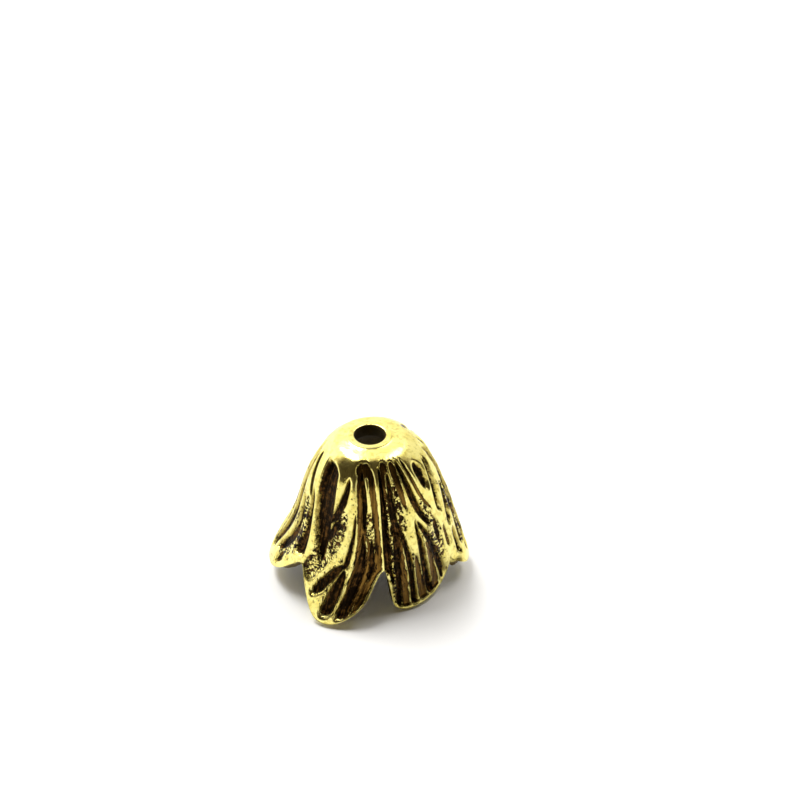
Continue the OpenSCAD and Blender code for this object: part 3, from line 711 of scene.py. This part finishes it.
# The finish: pale greenish gold where the polishing wheel reached, brown where it only
# grazed, and black in the veins, in the pits and inside. Darker gold on the shoulders
# beside the black veins, and the darker edges of the brown veins, are painted shade.
LIGHT_GOLD = (0.85, 0.76, 0.26)
DEEP_GOLD = (0.76, 0.65, 0.17)
CLOUDED_GOLD = (0.52, 0.42, 0.09)
SHOULDER_SHADE_GOLD = (0.33, 0.24, 0.05)
DARK_BROWN = (0.03, 0.013, 0.003)
WARM_BROWN = (0.20, 0.11, 0.022)
BLACK = (0.012, 0.007, 0.003)
RUSTY_BLACK = (0.16, 0.078, 0.020)
CAST_SKIN = (0.075, 0.045, 0.015)
PIT_BLACK = (0.02, 0.014, 0.008)
# How often each pattern comes in a metre, and how far the grains are crumpled, in metres
PATCHES = 900.0
BLOTCHES = 2600.0
PITS = 3600.0
SPECKLES = 4400.0
GRAINS = 5200.0
CRUMPLING = 0.00022
POLISHED_ROUGHNESS = 0.16
BUMP_HEIGHT = 0.00006
BUMP_STRENGTH = 0.8

gold = bpy.data.materials.new("worn_gold")
gold.use_nodes = True
tree = gold.node_tree
shader = tree.nodes["Principled BSDF"]
tone = functools.partial(worked_out, tree)
between = functools.partial(eased, tree)


def read(name):
    node = tree.nodes.new("ShaderNodeAttribute")
    node.attribute_name = name
    return node.outputs["Fac"]


def swing(pattern, amount):
    """A pattern that adds and takes away evenly, by half of that amount at most."""
    return tone("MULTIPLY", tone("SUBTRACT", pattern, 0.5), amount)


def cloud(vector, scale, detail, roughness=0.55):
    node = tree.nodes.new("ShaderNodeTexNoise")
    node.inputs["Scale"].default_value = scale
    node.inputs["Detail"].default_value = detail
    node.inputs["Roughness"].default_value = roughness
    tree.links.new(vector, node.inputs["Vector"])
    return node.outputs[0]


def brushed(across, down):
    """A place on the petals, stretched so that a cloud on it turns into strokes."""
    node = tree.nodes.new("ShaderNodeCombineXYZ")
    stretch = {"across": across, "down": down, "petal": 3.7}
    for slot, (name, times) in zip(node.inputs, stretch.items()):
        tree.links.new(tone("MULTIPLY", read(name), times), slot)
    return node.outputs[0]


def cells(vector, scale):
    node = tree.nodes.new("ShaderNodeTexVoronoi")
    node.inputs["Scale"].default_value = scale
    tree.links.new(vector, node.inputs["Vector"])
    return node.outputs


def blended(share, a, b):
    node = tree.nodes.new("ShaderNodeMix")
    node.data_type = "RGBA"
    tree.links.new(share, node.inputs["Factor"])
    for slot, value in ((node.inputs["A"], a), (node.inputs["B"], b)):
        if isinstance(value, tuple):
            slot.default_value = (*value, 1.0)
        else:
            tree.links.new(value, slot)
    return node.outputs["Result"]


here = tree.nodes.new("ShaderNodeTexCoord").outputs["Object"]
streaks = cloud(brushed(9.0, 5.0), 2.2, 4.0)
drawn = cloud(brushed(24.0, 8.0), 0.8, 1.5)
speckle = cloud(here, SPECKLES, 5.0, 0.85)
patches = cloud(here, PATCHES, 3.0)
blotch = cloud(here, BLOTCHES, 3.0, 0.6)
brown = read("brown")
black = read("black")
near_black = read("near_black")
lining = read("lining")
room = read("room")

# Broken ground: black grains of odd shapes in gold, beside the veins and where the ground
# was left rough
beside_black = tone("MULTIPLY", between(0.05, 0.35, near_black), between(0.45, 0.6, read("down")))
broken = tone("MAXIMUM", between(0.35, 0.9, read("rough")),
              tone("MULTIPLY", between(0.50, 0.60, streaks), beside_black))
crumple = tree.nodes.new("ShaderNodeTexNoise")
crumple.inputs["Scale"].default_value = GRAINS
tree.links.new(here, crumple.inputs["Vector"])
crumpled = tree.nodes.new("ShaderNodeVectorMath")
crumpled.operation = "MULTIPLY_ADD"
crumpled.inputs[1].default_value = (CRUMPLING, CRUMPLING, CRUMPLING)
tree.links.new(crumple.outputs["Color"], crumpled.inputs[0])
tree.links.new(here, crumpled.inputs[2])
grains = cells(crumpled.outputs[0], GRAINS)
split = tree.nodes.new("ShaderNodeSeparateColor")
tree.links.new(grains["Color"], split.inputs[0])
grain = tone("ADD", split.outputs["Red"], swing(patches, 1.6))
black_grains = tone("MULTIPLY", between(0.34, 0.52, grain), broken)

# How black the surface is: deep places first, with ragged edges where the wheel slipped
slip = tone("ADD", swing(speckle, 1.6), swing(patches, 0.8))
slip = tone("ADD", slip, swing(streaks, 0.6))
edge_of_brown = tone("MULTIPLY", slip, between(0.0, 0.3, brown))
grazed = between(0.30, 0.55, tone("ADD", brown, edge_of_brown))
edge_of_black = tone("MULTIPLY", slip, between(0.45, 0.95, near_black))
blackened = between(0.34, 0.58, tone("ADD", black, edge_of_black))
blackened = tone("MAXIMUM", blackened, black_grains)
cast_in = tone("MULTIPLY", between(0.55, 0.8, tone("ADD", lining, swing(patches, 0.5))), 0.93)

# Pits along the ridges, which hold specks of black
pit = tone("SUBTRACT", 1.0, between(0.12, 0.42, cells(here, PITS)["Distance"]))
pitted_zone = tone("MULTIPLY", between(0.50, 0.62, patches), between(0.25, 0.9, room))
pitted_zone = tone("MULTIPLY", pitted_zone, between(0.17, 0.26, read("down")))
pit = tone("MULTIPLY", pit, pitted_zone)

# The colours, from the polished ridges down to the pits
polished = blended(between(0.35, 0.7, patches), LIGHT_GOLD, DEEP_GOLD)
mottle = tone("MULTIPLY", between(0.50, 0.62, blotch), 0.5)
polished = blended(mottle, polished, CLOUDED_GOLD)
# Darker, bronzed gold on the shoulders right beside the black veins: painted shade that makes the
# ridges look rounded.
shoulder_shade = between(0.55, 1.1, tone("ADD", near_black, swing(drawn, 0.6)))
polished = blended(shoulder_shade, polished, SHOULDER_SHADE_GOLD)
# The brown is lighter in the middle of each brown vein and darker toward its edges. That gradient
# is painted shade of the hollow, laid over real tarnish and drawn wear.
wear_and_bowl_shade = tone("ADD", swing(drawn, 2.0), tone("MULTIPLY", read("brown_bowl_shade"), 0.6))
wear_and_bowl_shade = tone("ADD", wear_and_bowl_shade, tone("MULTIPLY", slip, 0.25))
tarnish_with_bowl_shade = blended(between(0.0, 0.9, wear_and_bowl_shade), DARK_BROWN, WARM_BROWN)
sooty = tone("ADD", tone("MULTIPLY", drawn, 0.45), tone("MULTIPLY", blotch, 0.55))
soot = blended(between(0.48, 0.66, sooty), BLACK, RUSTY_BLACK)
colour = blended(grazed, polished, tarnish_with_bowl_shade)
colour = blended(blackened, colour, soot)
colour = blended(cast_in, colour, CAST_SKIN)
colour = blended(tone("MULTIPLY", pit, 0.9), colour, PIT_BLACK)
tree.links.new(colour, shader.inputs["Base Color"])

dullness = tone("MAXIMUM", tone("MULTIPLY", blackened, 0.28), tone("MULTIPLY", cast_in, 0.6))
dullness = tone("MAXIMUM", dullness, tone("MULTIPLY", pit, 0.5))
roughness = tone("ADD", tone("ADD", POLISHED_ROUGHNESS, tone("MULTIPLY", grazed, 0.05)),
                 tone("ADD", tone("MULTIPLY", dullness, 0.5), tone("MULTIPLY", patches, 0.06)))
tree.links.new(roughness, shader.inputs["Roughness"])
metallic = tone("SUBTRACT", 1.0, tone("MULTIPLY", cast_in, 0.3))
tree.links.new(metallic, shader.inputs["Metallic"])

# The fine relief: a dull skin is grainy, the brown is drawn out in strokes, the broken
# ground is rough, and the pits are sunk
graininess = tone("ADD", 0.15, tone("MULTIPLY", dullness, 3.2))
relief = tone("SUBTRACT", tone("MULTIPLY", speckle, graininess), tone("MULTIPLY", pit, 0.8))
relief = tone("ADD", relief, tone("MULTIPLY", drawn, tone("MULTIPLY", grazed, 0.9)))
relief = tone("ADD", relief, tone("MULTIPLY", patches, 0.7))
crumbs = tone("ADD", grains["Distance"], tone("MULTIPLY", black_grains, 0.3))
relief = tone("SUBTRACT", relief, tone("MULTIPLY", broken, crumbs))
bump = tree.nodes.new("ShaderNodeBump")
bump.inputs["Strength"].default_value = BUMP_STRENGTH
bump.inputs["Distance"].default_value = BUMP_HEIGHT
tree.links.new(relief, bump.inputs["Height"])
tree.links.new(bump.outputs[0], shader.inputs["Normal"])

carver = blank.modifiers.new("carve_veins", "NODES")
carver.node_group = carving
sockets = {item.name: item.identifier for item in carving.interface.items_tree
           if item.in_out == "INPUT"}
carver[sockets["Chart"]] = chart
carver[sockets["Finish"]] = gold
evaluated = blank.evaluated_get(bpy.context.evaluated_depsgraph_get())
cap_mesh = bpy.data.meshes.new_from_object(evaluated)
cap_mesh.name = "cap_casting"
blank.modifiers.remove(carver)
bpy.data.objects.remove(blank)
bpy.data.objects.remove(chart)
cap = bpy.data.objects.new("cap_casting", cap_mesh)
bpy.context.collection.objects.link(cap)
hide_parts("cap")
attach(cap, "root")


# The table: a white sheet of card, lit evenly, on which the petals stand. It is there
# for the picture alone and is no part of the cap.
SHEET = 0.6
CARD_WHITE = (0.98, 0.985, 0.99, 1)
CARD_ROUGHNESS = 0.7
table_mesh = bpy.data.meshes.new("table")
corners = [(-SHEET, -SHEET, 0), (SHEET, -SHEET, 0), (SHEET, SHEET, 0), (-SHEET, SHEET, 0)]
table_mesh.from_pydata(corners, [], [(0, 1, 2, 3)])
card = bpy.data.materials.new("white_card")
card.use_nodes = True
card_face = card.node_tree.nodes["Principled BSDF"]
card_face.inputs["Base Color"].default_value = CARD_WHITE
card_face.inputs["Roughness"].default_value = CARD_ROUGHNESS
table_mesh.materials.append(card)
table = bpy.data.objects.new("table", table_mesh)
bpy.context.collection.objects.link(table)


# The light: two soft boxes above the cap, the left one stronger, and a pale room that is
# brighter on the left, and darker and warmer toward the viewer.
SOFT_BOXES = [
    dict(name="box_left", at=(-0.32, 0.33, 0.89), width=0.28, length=0.60, power=7.0),
    dict(name="box_right", at=(0.40, 0.34, 0.85), width=0.28, length=0.60, power=2.4),
]
ROOM_LEFT = 2.1
ROOM_RIGHT = 1.05
ROOM_LEAST = 0.06
ROOM_WHITE = (1.0, 1.0, 0.99, 1)
ROOM_SHADE = (1.0, 0.80, 0.55, 1)
for box in SOFT_BOXES:
    lamp = bpy.data.lights.new(box["name"], "AREA")
    lamp.shape = "RECTANGLE"
    lamp.size = box["width"]
    lamp.size_y = box["length"]
    lamp.energy = box["power"]
    light = bpy.data.objects.new(box["name"], lamp)
    light.location = box["at"]
    back = light.location.normalized()
    side = Vector((1, 0, 0)) - back * back.x
    side.normalize()
    light.rotation_euler = Matrix((side, back.cross(side), back)).transposed().to_euler()
    bpy.context.collection.objects.link(light)
bpy.context.scene.view_settings.view_transform = "Standard"
room_light = bpy.data.worlds.new("room")
room_light.use_nodes = True
air = room_light.node_tree
bpy.context.scene.world = room_light
air_math = functools.partial(worked_out, air)
air_step = functools.partial(eased, air)

way = air.nodes.new("ShaderNodeSeparateXYZ")
air.links.new(air.nodes.new("ShaderNodeTexCoord").outputs["Generated"], way.inputs[0])
band = air_step(0.02, 0.15, way.outputs["Z"])
viewer_side = air_step(0.0, 0.32, way.outputs["Y"], 1.0, 0.08)
top = air_step(0.90, 0.97, way.outputs["Z"], 0.0, 0.6)
shade = air_math("MAXIMUM", air_math("MULTIPLY", band, viewer_side), top)
window_side = air_step(-1.0, 1.0, way.outputs["X"], ROOM_LEFT, ROOM_RIGHT)
brightness = air_math("MULTIPLY", air_math("SUBTRACT", 1.0, shade), window_side)
backdrop = air.nodes["Background"]
air.links.new(air_math("ADD", brightness, ROOM_LEAST), backdrop.inputs["Strength"])
tint = air.nodes.new("ShaderNodeMix")
tint.data_type = "RGBA"
air.links.new(shade, tint.inputs["Factor"])
tint.inputs["A"].default_value = ROOM_WHITE
tint.inputs["B"].default_value = ROOM_SHADE
air.links.new(tint.outputs["Result"], backdrop.inputs["Color"])
